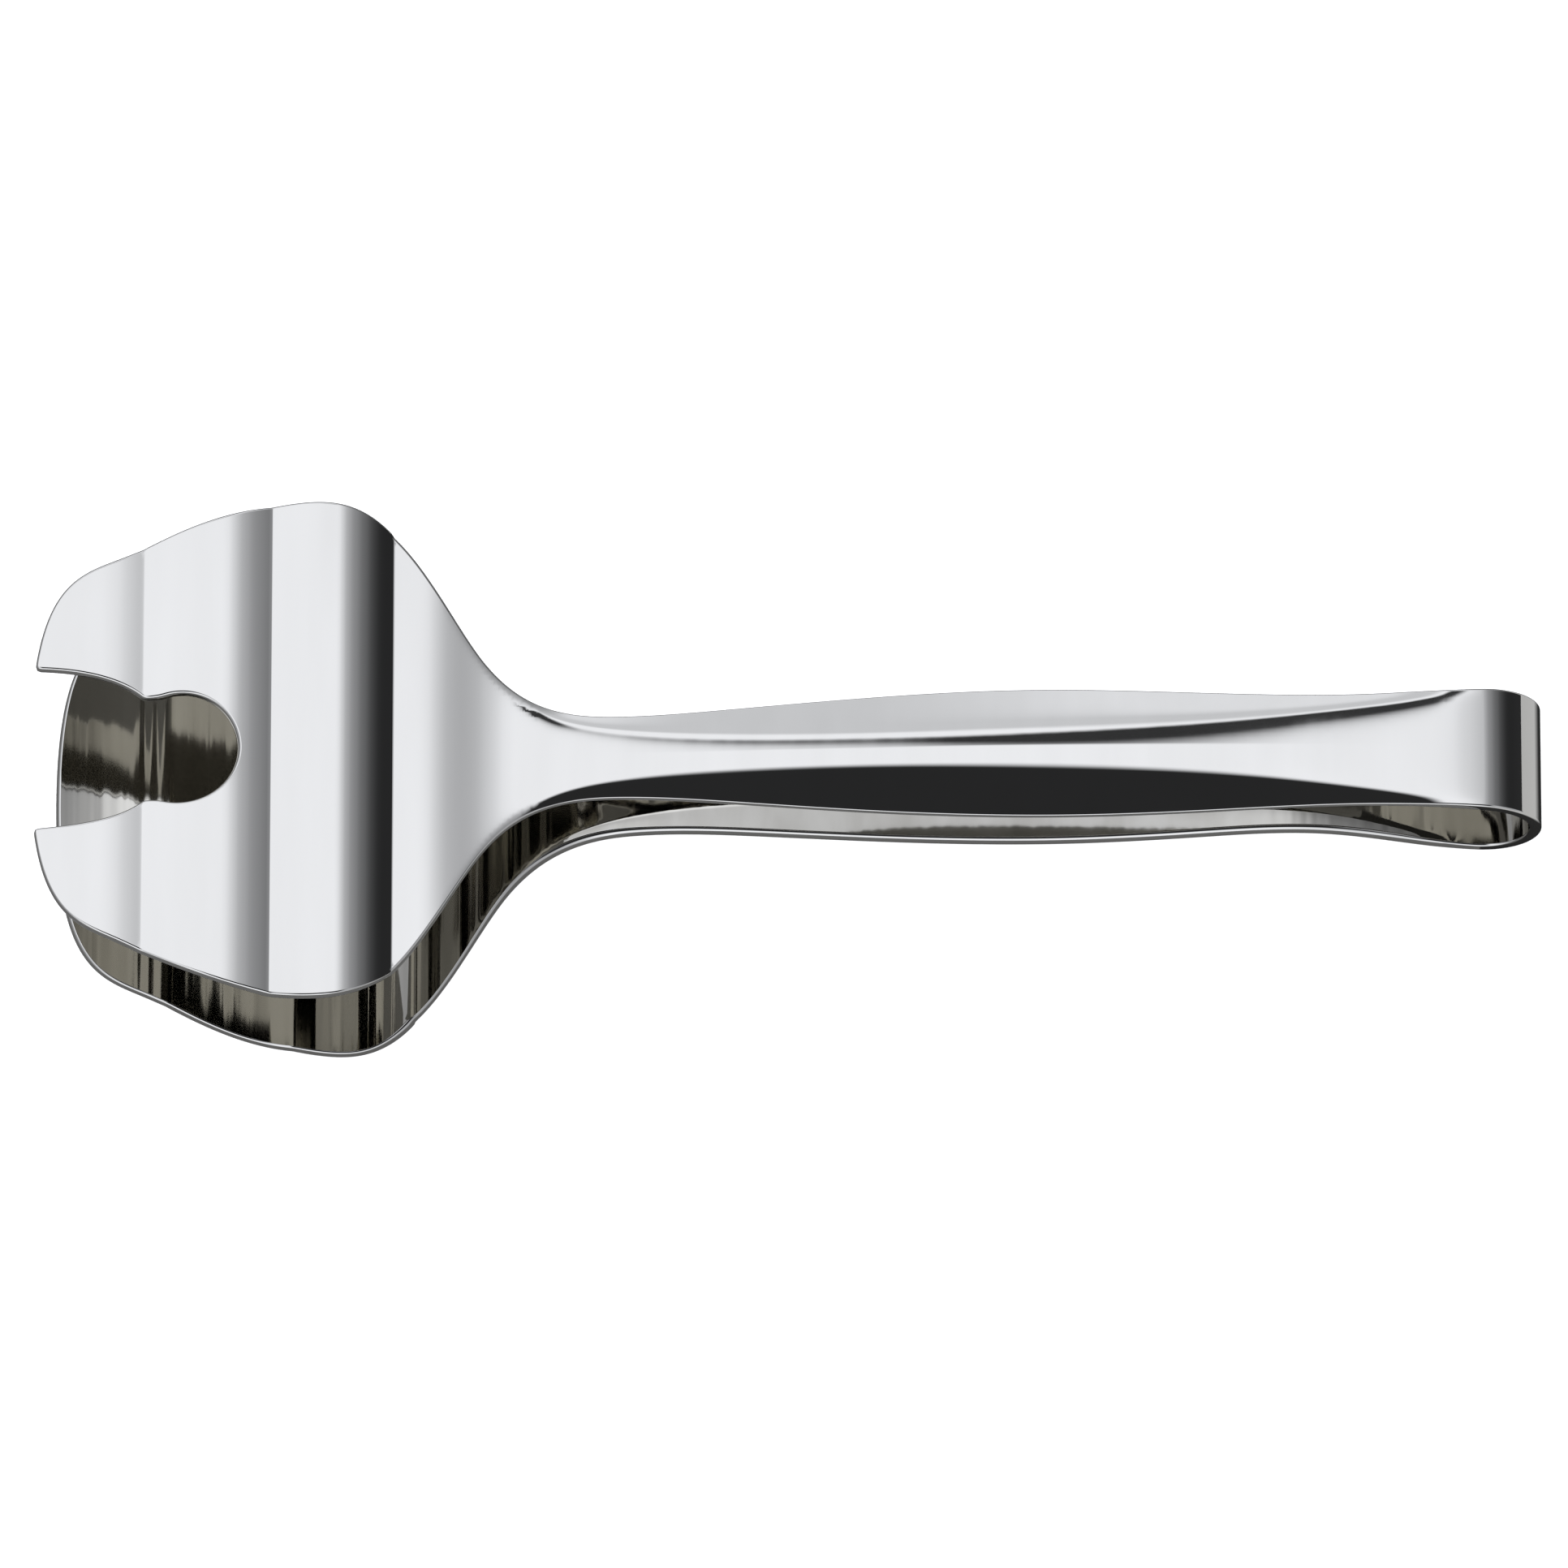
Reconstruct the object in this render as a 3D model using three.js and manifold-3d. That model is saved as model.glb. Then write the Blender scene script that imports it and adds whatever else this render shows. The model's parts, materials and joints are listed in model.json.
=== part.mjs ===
// Serving tongs pressed and bent from one strip of polished stainless steel. Millimetres, +Z up.
//
// The strip has seven sections, each a mesh of its own: a sprung U bend at +X, and on each side of it a
// channelled handle, a narrow neck and a wide scalloped blade. The upper blade is a fork with a keyhole
// notch, the lower blade is a plain spoon.
//
// Both arms are pressed to one pattern. A place on the pattern is a station, the distance from the
// outside of the bend towards the fork's tip, and heights are measured from the middle of the bend.
// The finished strip is tilted so that the bend and the belly of the spoon both stand on Z = 0.
import * as THREE from 'three';
import { mergeVertices } from 'three/addons/utils/BufferGeometryUtils.js';
import Module from 'manifold-3d';

// Driving dimensions
const SHEET = 1.8;
const BEND_RADIUS = 8.5;
const BEND_STATION = BEND_RADIUS + SHEET / 2;
const HANDLE_START = 14;
const NECK_START = 130;
const BLADE_START = 161;
const FORK_LENGTH = 219.9;
const SPOON_SHORTENING = 3.2;
const SPOON_CURVE_LENGTH = 50;
const SECTION_GAP = 0.3;

// Half-width of the strip against station, up to where the front edge begins
const HALF_WIDTHS = [
  [0, 9.5], [BEND_STATION, 9.25], [24, 8.45], [36, 8.5], [52, 9.15], [72, 9.7], [95, 8.95],
  [118, 7.2], [134, 6.25], [142, 6.85], [148, 9.2], [154, 14.7], [160, 24.1], [166, 32.6],
  [172, 37.1], [180, 38.3], [190, 36.6], [200, 32.85], [207.7, 29.3],
];
const FRONT_SLOPE = -0.43;
// Front edge of a blade, as the control points of a cubic curve from its side to the middle of the tip
const FRONT_EDGE = [[207.7, 29.3], [214, 26.6], [FORK_LENGTH, 24.5], [FORK_LENGTH, 0]];

// The handle is a shallow channel: a flat top between two creases, with flanges that drop inwards.
const CREASE_HALF_WIDTHS = [
  [0, 8], [BEND_STATION, 8], [24, 6.8], [36, 5.5], [48, 4.5], [60, 3.7], [72, 3.05], [90, 2.4],
  [108, 2.3], [122, 2.75], [134, 3.85], [142, 5.4], [148, 8], [154, 13.6], [160, 22.4],
  [BLADE_START, 24.2],
];
const FORK_FLANGE_DROPS = [
  [0, 0], [BEND_STATION, 0], [20, 0.7], [34, 1.9], [48, 2.8], [62, 3.1], [80, 2.9], [100, 2.3],
  [120, 1.55], [134, 1.1], [142, 0.75], [148, 0.32], [154, 0.1], [159, 0.02], [BLADE_START, 0],
];
const SPOON_FLANGE_DROPS = [
  [0, 0], [BEND_STATION, 0], [20, 0.5], [34, 1.35], [48, 1.95], [62, 2.36], [80, 2.4], [100, 2.02],
  [120, 1.55], [134, 1.1], [142, 0.75], [148, 0.32], [154, 0.1], [159, 0.02], [BLADE_START, 0],
];
const CREASE_END_SLOPE = 1.8;
const CREASE_SOFTNESSES = [
  [0, 0.9], [26, 0.9], [50, 1.5], [72, 1.6], [92, 1.05], [112, 0.9], [130, 0.8], [146, 0.5],
  [BLADE_START, 0.5],
];

// The fork's arm is already turning down where the round of the bend begins.
const FORK_ENTRY_TILT = 5 * Math.PI / 180;
const FORK_BEND_STATION = BEND_STATION - BEND_RADIUS * Math.sin(FORK_ENTRY_TILT);
const FORK_BEND_HEIGHT = BEND_RADIUS * Math.cos(FORK_ENTRY_TILT);

// Height of the middle of the sheet on each arm, from the bend to the blade's first valley
const VALLEY_STATIONS = [167.5, 184.9, 203.3, FORK_LENGTH];
const FORK_STEM_HEIGHTS = [
  [FORK_BEND_STATION, FORK_BEND_HEIGHT], [24, 8.95], [40, 9.3], [60, 9.45], [80, 8.95], [100, 7.75],
  [120, 6.4], [138, 5], [149, 4.4], [156, 4.95], [BLADE_START, 5.55], [VALLEY_STATIONS[0], 5.75],
];
const SPOON_STEM_HEIGHTS = [
  [BEND_STATION, -BEND_RADIUS], [17, -7.87], [25, -6.2], [34, -4.5], [44, -4.2], [56, -5.25],
  [72, -6.7], [92, -7.95], [112, -9.18], [130, -10.7], [142, -12.45], [151, -13.8], [159, -14.4],
  [VALLEY_STATIONS[0], -14.5],
];

// Each blade is a row of three lobes between sharp valleys. Rise and fall are the slopes at a lobe's
// two ends, measured from the line that joins its valleys.
const FORK_VALLEY_HEIGHTS = [5.75, 7.65, 7.75, 7.9];
const SPOON_VALLEY_HEIGHTS = [-14.5, -16.3, -15.4, -14];
const LOBE_RISES = [0.67, 0.3, 0.12];
const LOBE_FALLS = [0.23, 0.2, 0.13];

// Keyhole notch in the fork: a round hole, then two cusps, then a mouth that opens to the front edge
const HOLE_STATION = 198;
const HOLE_RADIUS = 8.35;
const SHOULDER_ANGLE = 110 * Math.PI / 180;
const CUSP = [203.3, 7.7];
const MOUTH_BOW = [207.5, 11.6];
const MOUTH = [FORK_LENGTH, 12.2];

// Fineness of the facets
const HANDLE_STEP = 3;
const NECK_STEP = 1.6;
const BLADE_STEP = 1.15;
const BEND_STEPS = 22;
const OUTLINE_STEP = 2.2;
const FRONT_POINTS = 14;
const BEND_SIDE_STEP = 1.5;
const INNER_COLUMN_MIN = 0.5;
const OUTER_COLUMN_MAX = 0.97;
const MERGE_TOLERANCE = 1e-5;

const STEEL = new THREE.MeshStandardMaterial({ color: 0xc9cbcc, roughness: 0.08, metalness: 1 });

const wasm = await Module();
wasm.setup();

// ---------------------------------------------------------------- curves

// Value at u on the cubic from a to b, each [station, value], with a given slope at each end
function hermite(u, a, b, slopeA, slopeB) {
  const length = b[0] - a[0];
  const t = (u - a[0]) / length;
  const swing = t * t * (3 - 2 * t);
  const leave = t * (1 - t) * (1 - t);
  const meet = t * t * (t - 1);
  return a[1] + (b[1] - a[1]) * swing + length * (slopeA * leave + slopeB * meet);
}

// Curve through the stations, with continuous curvature and fixed slopes at its two ends
function smoothCurve(stations, startSlope, endSlope) {
  const last = stations.length - 1;
  const slopes = new Array(last + 1).fill(0);
  const pull = new Array(last + 1).fill(0);
  slopes[0] = startSlope;
  slopes[last] = endSlope;
  for (let i = 1; i < last; i += 1) {
    const before = 1 / (stations[i][0] - stations[i - 1][0]);
    const after = 1 / (stations[i + 1][0] - stations[i][0]);
    const stepBefore = (stations[i][1] - stations[i - 1][1]) * before ** 2;
    const stepAfter = (stations[i + 1][1] - stations[i][1]) * after ** 2;
    const weight = 2 * (before + after) - before * pull[i - 1];
    pull[i] = after / weight;
    slopes[i] = (3 * (stepBefore + stepAfter) - before * slopes[i - 1]) / weight;
  }
  for (let i = last - 1; i > 0; i -= 1) {
    slopes[i] -= pull[i] * slopes[i + 1];
  }
  return (u) => {
    let i = 0;
    while (i < last - 1 && u > stations[i + 1][0]) {
      i += 1;
    }
    return hermite(u, stations[i], stations[i + 1], slopes[i], slopes[i + 1]);
  };
}

const halfWidth = smoothCurve(HALF_WIDTHS, 0, FRONT_SLOPE);
const creaseHalfWidth = smoothCurve(CREASE_HALF_WIDTHS, 0, CREASE_END_SLOPE);
const creaseSoftness = smoothCurve(CREASE_SOFTNESSES, 0, 0);

// Height of an arm's middle line: a smooth stem up to the first valley, then the lobes
function armHeight(stemHeights, startSlope, valleyHeights, outward) {
  const stem = smoothCurve(stemHeights, startSlope, 0);
  return (u) => {
    if (u <= VALLEY_STATIONS[0]) {
      return stem(u);
    }
    let i = 0;
    while (i < LOBE_RISES.length - 1 && u > VALLEY_STATIONS[i + 1]) {
      i += 1;
    }
    const a = [VALLEY_STATIONS[i], valleyHeights[i]];
    const b = [VALLEY_STATIONS[i + 1], valleyHeights[i + 1]];
    const chord = (b[1] - a[1]) / (b[0] - a[0]);
    return hermite(u, a, b, chord + outward * LOBE_RISES[i], chord - outward * LOBE_FALLS[i]);
  };
}

// An arm: its outward direction along Z, how much shorter than the pattern it is, and its middle line
const FORK = {
  outward: 1,
  shortening: 0,
  flangeDrop: smoothCurve(FORK_FLANGE_DROPS, 0, 0),
  height: armHeight(FORK_STEM_HEIGHTS, Math.tan(FORK_ENTRY_TILT), FORK_VALLEY_HEIGHTS, 1),
};
const SPOON = {
  outward: -1,
  shortening: SPOON_SHORTENING,
  flangeDrop: smoothCurve(SPOON_FLANGE_DROPS, 0, 0),
  height: armHeight(SPOON_STEM_HEIGHTS, 0, SPOON_VALLEY_HEIGHTS, -1),
};

// X of a station before the tilt, where the middle of the bend is X = 0 and the tips are at -X. The
// spoon arm loses its length in the curve next to the bend.
function stationX(arm, station) {
  const share = THREE.MathUtils.smoothstep(station, BEND_STATION, BEND_STATION + SPOON_CURVE_LENGTH);
  return BEND_STATION - station + arm.shortening * share;
}

// ---------------------------------------------------------------- formed sheet

// Middle surface of an arm at a station and a share of its half-width, from -1 to 1
function armPoint(arm, station, share) {
  const width = halfWidth(station);
  const crease = creaseHalfWidth(station);
  const past = Math.abs(share) * width - crease;
  const softened = (past + Math.hypot(past, creaseSoftness(station))) / 2;
  const drop = arm.flangeDrop(station) * softened / (width - crease);
  return new THREE.Vector3(stationX(arm, station), share * width, arm.height(station) - arm.outward * drop);
}

// Middle points and outward normals across an arm, walking towards the bend on the fork and away from
// it on the spoon
function armRow(arm, station, shares) {
  const nudge = 0.02;
  const ahead = -arm.outward * nudge;
  return shares.map((share) => {
    const along = armPoint(arm, station + ahead, share).sub(armPoint(arm, station - ahead, share));
    const sideways = armPoint(arm, station, share + nudge).sub(armPoint(arm, station, share - nudge));
    return [armPoint(arm, station, share), along.cross(sideways).normalize()];
  });
}

// Closed sheet from rows of [middle point, outward normal], made by bending a flat box into place
function sheetGeometry(rows) {
  const steps = rows.length - 1;
  const columns = rows[0].length - 1;
  const geometry = new THREE.BoxGeometry(steps, columns, 1, steps, columns, 1);
  const position = geometry.attributes.position;
  for (let i = 0; i < position.count; i += 1) {
    const row = Math.round(position.getX(i) + steps / 2);
    const column = Math.round(position.getY(i) + columns / 2);
    const [point, normal] = rows[row][column];
    const corner = point.clone().addScaledVector(normal, position.getZ(i) * SHEET);
    position.setXYZ(i, corner.x, corner.y, corner.z);
  }
  geometry.deleteAttribute('normal');
  geometry.deleteAttribute('uv');
  return mergeVertices(geometry, MERGE_TOLERANCE);
}

function stepsBetween(start, end, step) {
  const count = Math.ceil((end - start) / step);
  return Array.from({ length: count + 1 }, (_, i) => start + (end - start) * i / count);
}

// Handle or neck: rows from one station to the next, with columns on both sides of each crease
function stemGeometry(arm, start, end, step) {
  const rows = stepsBetween(start, end - SECTION_GAP, step).map((station) => {
    const width = halfWidth(station);
    const crease = creaseHalfWidth(station);
    const softness = creaseSoftness(station);
    const inner = Math.max(crease - softness, INNER_COLUMN_MIN) / width;
    const outer = Math.min((crease + softness) / width, OUTER_COLUMN_MAX);
    return armRow(arm, station, [-1, -outer, -inner, 0, inner, outer, 1]);
  });
  return sheetGeometry(arm === FORK ? rows.reverse() : rows);
}

// U bend: from the fork's handle, down round the half circle, to the spoon's handle
function bendGeometry() {
  const shares = [-1, 0, 1];
  const end = HANDLE_START - SECTION_GAP;
  const forkSide = stepsBetween(FORK_BEND_STATION, end, BEND_SIDE_STEP).slice(1)
    .map((station) => armRow(FORK, station, shares)).reverse();
  const spoonSide = stepsBetween(BEND_STATION, end, BEND_SIDE_STEP).slice(1)
    .map((station) => armRow(SPOON, station, shares));
  const arc = [];
  for (let i = 0; i <= BEND_STEPS; i += 1) {
    const angle = THREE.MathUtils.lerp(Math.PI / 2 - FORK_ENTRY_TILT, -Math.PI / 2, i / BEND_STEPS);
    const normal = new THREE.Vector3(Math.cos(angle), 0, Math.sin(angle));
    const middle = normal.clone().multiplyScalar(BEND_RADIUS);
    const width = halfWidth(BEND_STATION - middle.x);
    arc.push(shares.map((share) => [middle.clone().setY(share * width), normal]));
  }
  return sheetGeometry([...forkSide, ...arc, ...spoonSide]);
}

// ---------------------------------------------------------------- blades

function toSolid(geometry) {
  geometry.deleteAttribute('normal');
  geometry.deleteAttribute('uv');
  const merged = mergeVertices(geometry, MERGE_TOLERANCE);
  const vertProperties = new Float32Array(merged.attributes.position.array);
  const triVerts = new Uint32Array(merged.index.array);
  return new wasm.Manifold(new wasm.Mesh({ numProp: 3, vertProperties, triVerts }));
}

function toGeometry(solid) {
  const mesh = solid.getMesh();
  const geometry = new THREE.BufferGeometry();
  geometry.setAttribute('position', new THREE.BufferAttribute(mesh.vertProperties, 3));
  geometry.setIndex(new THREE.BufferAttribute(mesh.triVerts, 1));
  return geometry;
}

// Upright prism over an outline, tall enough to pass through both blades
function prism(outline) {
  const reach = 30;
  const geometry = new THREE.ExtrudeGeometry(outline, { depth: 2 * reach, bevelEnabled: false });
  return toSolid(geometry.translate(0, 0, -reach));
}

// Wavy plate as wide as needed, cut from the sheet's side view
function wavyPlate(arm) {
  const reach = 50;
  const nudge = 0.3;
  const outside = [];
  const inside = [];
  for (const station of bladeStations()) {
    const low = Math.max(station - nudge, BLADE_START);
    const high = Math.min(station + nudge, FORK_LENGTH);
    const run = stationX(arm, low) - stationX(arm, high);
    const normal = new THREE.Vector2(arm.height(high) - arm.height(low), run).setLength(SHEET / 2);
    const middle = new THREE.Vector2(stationX(arm, station), arm.height(station));
    outside.push(middle.clone().add(normal));
    inside.push(middle.clone().sub(normal));
  }
  const side = new THREE.Shape([...outside, ...inside.reverse()]);
  const geometry = new THREE.ExtrudeGeometry(side, { depth: 2 * reach, bevelEnabled: false });
  return toSolid(geometry.rotateX(Math.PI / 2).translate(0, reach, 0));
}

// Stations of the facets along a blade, with one on each valley
function bladeStations() {
  const ends = [BLADE_START, ...VALLEY_STATIONS];
  const stations = [BLADE_START];
  for (let i = 1; i < ends.length; i += 1) {
    stations.push(...stepsBetween(ends[i - 1], ends[i], BLADE_STEP).slice(1));
  }
  return stations;
}

// Outline of a blade seen from above: the sides, then the rounded front edge
function bladeOutline(arm) {
  const side = stepsBetween(BLADE_START, HALF_WIDTHS.at(-1)[0], OUTLINE_STEP)
    .map((station) => new THREE.Vector2(station, halfWidth(station)));
  const front = new THREE.CubicBezierCurve(...FRONT_EDGE.map((corner) => new THREE.Vector2(...corner)));
  const half = [...side, ...front.getPoints(FRONT_POINTS).slice(1)];
  const near = half.map((point) => new THREE.Vector2(stationX(arm, point.x), -point.y));
  const far = half.slice(0, -1).reverse().map((point) => new THREE.Vector2(stationX(arm, point.x), point.y));
  return new THREE.Shape([...near, ...far]);
}

function notchOutline() {
  const cuspX = stationX(FORK, CUSP[0]);
  const bowX = stationX(FORK, MOUTH_BOW[0]);
  const mouthX = stationX(FORK, MOUTH[0]);
  const outsideX = mouthX - MOUTH[1];
  const shape = new THREE.Shape();
  shape.moveTo(outsideX, MOUTH[1]);
  shape.lineTo(mouthX, MOUTH[1]);
  shape.quadraticCurveTo(bowX, MOUTH_BOW[1], cuspX, CUSP[1]);
  shape.absarc(stationX(FORK, HOLE_STATION), 0, HOLE_RADIUS, SHOULDER_ANGLE, -SHOULDER_ANGLE, true);
  shape.lineTo(cuspX, -CUSP[1]);
  shape.quadraticCurveTo(bowX, -MOUTH_BOW[1], mouthX, -MOUTH[1]);
  shape.lineTo(outsideX, -MOUTH[1]);
  return shape;
}

function forkBladeGeometry() {
  const blank = wavyPlate(FORK).intersect(prism(bladeOutline(FORK)));
  return toGeometry(blank.subtract(prism(notchOutline())));
}

function spoonBladeGeometry() {
  return toGeometry(wavyPlate(SPOON).intersect(prism(bladeOutline(SPOON))));
}

// ---------------------------------------------------------------- assembly

// Tilt that brings the belly of the spoon down to the level of the bend's underside
function restTilt() {
  const bendReach = BEND_RADIUS + SHEET / 2;
  let tilt = 0;
  for (const station of bladeStations()) {
    const depth = SHEET / 2 - SPOON.height(station);
    const reach = -stationX(SPOON, station);
    tilt = Math.max(tilt, Math.atan2(depth, reach) - Math.asin(bendReach / Math.hypot(depth, reach)));
  }
  return tilt;
}

function section(name, geometry) {
  const mesh = new THREE.Mesh(geometry, STEEL);
  mesh.name = name;
  return mesh;
}

const strip = new THREE.Group();
strip.add(
  section('fork_blade', forkBladeGeometry()),
  section('fork_neck', stemGeometry(FORK, NECK_START, BLADE_START, NECK_STEP)),
  section('fork_handle', stemGeometry(FORK, HANDLE_START, NECK_START, HANDLE_STEP)),
  section('spring_bend', bendGeometry()),
  section('spoon_handle', stemGeometry(SPOON, HANDLE_START, NECK_START, HANDLE_STEP)),
  section('spoon_neck', stemGeometry(SPOON, NECK_START, BLADE_START, NECK_STEP)),
  section('spoon_blade', spoonBladeGeometry()),
);
strip.rotation.y = restTilt();

// The origin is under the middle of the tongs.
const box = new THREE.Box3().setFromObject(strip, true);
strip.position.set(-(box.min.x + box.max.x) / 2, 0, -box.min.z);

const tongs = new THREE.Group();
tongs.add(strip);

export default tongs;
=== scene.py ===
"""Polished steel serving tongs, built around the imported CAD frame.

The tongs are one pressed strip. The forming functions below repeat part.mjs in millimetres, and three
seamless sheets with rounded edges are made from them: the fork arm, the sprung bend and the spoon arm.
"""

import json
import math

import bpy
import numpy as np
from mathutils import Matrix, Vector
from mathutils.geometry import delaunay_2d_cdt


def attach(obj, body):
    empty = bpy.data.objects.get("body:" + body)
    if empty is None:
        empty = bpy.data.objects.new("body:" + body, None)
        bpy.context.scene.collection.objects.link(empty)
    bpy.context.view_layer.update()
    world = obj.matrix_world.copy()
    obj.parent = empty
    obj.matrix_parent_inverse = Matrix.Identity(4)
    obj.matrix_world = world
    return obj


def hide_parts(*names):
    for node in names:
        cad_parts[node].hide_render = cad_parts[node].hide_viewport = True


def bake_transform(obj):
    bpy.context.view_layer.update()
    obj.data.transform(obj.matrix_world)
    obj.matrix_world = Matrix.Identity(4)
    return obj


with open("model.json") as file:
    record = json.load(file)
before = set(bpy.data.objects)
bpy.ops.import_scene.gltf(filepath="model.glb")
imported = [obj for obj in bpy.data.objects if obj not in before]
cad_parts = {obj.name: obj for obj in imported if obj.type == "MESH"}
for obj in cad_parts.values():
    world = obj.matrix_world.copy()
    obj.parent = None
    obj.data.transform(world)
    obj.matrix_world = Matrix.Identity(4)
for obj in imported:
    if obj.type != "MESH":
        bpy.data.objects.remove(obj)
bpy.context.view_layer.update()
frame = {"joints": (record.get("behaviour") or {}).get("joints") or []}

MM = 0.001

# ---------------------------------------------------------------- sizes, as in part.mjs, in mm

SHEET = 1.8
EDGE_INSET = 0.5
BEND_RADIUS = 8.5
BEND_STATION = BEND_RADIUS + SHEET / 2
HANDLE_START = 14
BLADE_START = 161
FORK_LENGTH = 219.9
SPOON_SHORTENING = 3.2
SPOON_CURVE_LENGTH = 50

HALF_WIDTHS = [
    (0, 9.5), (BEND_STATION, 9.25), (24, 8.45), (36, 8.5), (52, 9.15), (72, 9.7), (95, 8.95),
    (118, 7.2), (134, 6.25), (142, 6.85), (148, 9.2), (154, 14.7), (160, 24.1), (166, 32.6),
    (172, 37.1), (180, 38.3), (190, 36.6), (200, 32.85), (207.7, 29.3),
]
FRONT_SLOPE = -0.43
FRONT_EDGE = [(207.7, 29.3), (214, 26.6), (FORK_LENGTH, 24.5), (FORK_LENGTH, 0)]

CREASE_HALF_WIDTHS = [
    (0, 8), (BEND_STATION, 8), (24, 6.8), (36, 5.5), (48, 4.5), (60, 3.7), (72, 3.05), (90, 2.4),
    (108, 2.3), (122, 2.75), (134, 3.85), (142, 5.4), (148, 8), (154, 13.6), (160, 22.4),
    (BLADE_START, 24.2),
]
FORK_FLANGE_DROPS = [
    (0, 0), (BEND_STATION, 0), (20, 0.7), (34, 1.9), (48, 2.8), (62, 3.1), (80, 2.9), (100, 2.3),
    (120, 1.55), (134, 1.1), (142, 0.75), (148, 0.32), (154, 0.1), (159, 0.02), (BLADE_START, 0),
]
SPOON_FLANGE_DROPS = [
    (0, 0), (BEND_STATION, 0), (20, 0.5), (34, 1.35), (48, 1.95), (62, 2.36), (80, 2.4), (100, 2.02),
    (120, 1.55), (134, 1.1), (142, 0.75), (148, 0.32), (154, 0.1), (159, 0.02), (BLADE_START, 0),
]
CREASE_END_SLOPE = 1.8
CREASE_SOFTNESSES = [
    (0, 0.9), (26, 0.9), (50, 1.5), (72, 1.6), (92, 1.05), (112, 0.9), (130, 0.8), (146, 0.5),
    (BLADE_START, 0.5),
]

FORK_ENTRY_TILT = math.radians(5)
FORK_BEND_STATION = BEND_STATION - BEND_RADIUS * math.sin(FORK_ENTRY_TILT)
FORK_BEND_HEIGHT = BEND_RADIUS * math.cos(FORK_ENTRY_TILT)

VALLEY_STATIONS = [167.5, 184.9, 203.3, FORK_LENGTH]
FORK_STEM_HEIGHTS = [
    (FORK_BEND_STATION, FORK_BEND_HEIGHT), (24, 8.95), (40, 9.3), (60, 9.45), (80, 8.95), (100, 7.75),
    (120, 6.4), (138, 5), (149, 4.4), (156, 4.95), (BLADE_START, 5.55), (VALLEY_STATIONS[0], 5.75),
]
SPOON_STEM_HEIGHTS = [
    (BEND_STATION, -BEND_RADIUS), (17, -7.87), (25, -6.2), (34, -4.5), (44, -4.2), (56, -5.25),
    (72, -6.7), (92, -7.95), (112, -9.18), (130, -10.7), (142, -12.45), (151, -13.8), (159, -14.4),
    (VALLEY_STATIONS[0], -14.5),
]
FORK_VALLEY_HEIGHTS = [5.75, 7.65, 7.75, 7.9]
SPOON_VALLEY_HEIGHTS = [-14.5, -16.3, -15.4, -14]
LOBE_RISES = [0.67, 0.3, 0.12]
LOBE_FALLS = [0.23, 0.2, 0.13]
VALLEY_SOFTNESS = 0.25

HOLE_STATION = 198
HOLE_RADIUS = 8.35
SHOULDER_ANGLE = math.radians(110)
CUSP = (203.3, 7.7)
MOUTH_BOW = (207.5, 11.6)
MOUTH = (FORK_LENGTH, 12.2)

# Fineness of the meshes
OUTLINE_STEP = 0.5
CORNER_BLUR = 0.55
BLUR_REACH = 4
SAME_POINT = 1e-9
EDGE_RINGS = 12
ROW_STEP = 0.5
STEM_COLUMNS = 44
CREASE_CROWDING = 4
CREASE_SAMPLES = 801
WIDE_COLUMNS_START = 146
FRONT_MARGIN = 2
HALF_BLADE = 40
BLADE_COLUMNS = 100
EDGE_CLEARANCE = 0.3
FINE_STEP = 0.1
SIDE_POINTS = 400
SPOON_FRONT_POINTS = 80
FORK_FRONT_POINTS = 200
MOUTH_POINTS = 40
HOLE_POINTS = 60
SEAM_COLUMNS = 17
BEND_ARC_ROWS = 72
FORK_ENTRY_ROWS = 12
SPOON_EXIT_ROWS = 11
NORMAL_NUDGE = 0.03
SIDE_NUDGE = 0.02
TILT_STEP = 0.25
POINTS_AT_ONCE = 2000
MERGE_TOLERANCE = 1e-6
CAP_CORNERS = 8


# ---------------------------------------------------------------- curves

def hermite(u, a, b, slope_a, slope_b):
    """Value at u on the cubic from a to b, each (station, value), with a given slope at each end."""
    length = b[0] - a[0]
    t = (u - a[0]) / length
    swing = t * t * (3 - 2 * t)
    leave = t * (1 - t) ** 2
    meet = t * t * (t - 1)
    return a[1] + (b[1] - a[1]) * swing + length * (slope_a * leave + slope_b * meet)


def smooth_curve(stations, start_slope, end_slope):
    """Curve through the stations, with continuous curvature and fixed slopes at its two ends."""
    x = np.array([s[0] for s in stations], float)
    y = np.array([s[1] for s in stations], float)
    last = len(x) - 1
    system = np.eye(last + 1)
    wanted = np.zeros(last + 1)
    wanted[0] = start_slope
    wanted[last] = end_slope
    for i in range(1, last):
        before = 1 / (x[i] - x[i - 1])
        after = 1 / (x[i + 1] - x[i])
        system[i, i - 1:i + 2] = before, 2 * (before + after), after
        wanted[i] = 3 * ((y[i] - y[i - 1]) * before ** 2 + (y[i + 1] - y[i]) * after ** 2)
    slopes = np.linalg.solve(system, wanted)

    def value(u):
        u = np.asarray(u, float)
        i = np.clip(np.searchsorted(x, u) - 1, 0, last - 1)
        return hermite(u, (x[i], y[i]), (x[i + 1], y[i + 1]), slopes[i], slopes[i + 1])

    return value


half_width = smooth_curve(HALF_WIDTHS, 0, FRONT_SLOPE)
crease_curve = smooth_curve(CREASE_HALF_WIDTHS, 0, CREASE_END_SLOPE)
softness_curve = smooth_curve(CREASE_SOFTNESSES, 0, 0)


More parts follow.
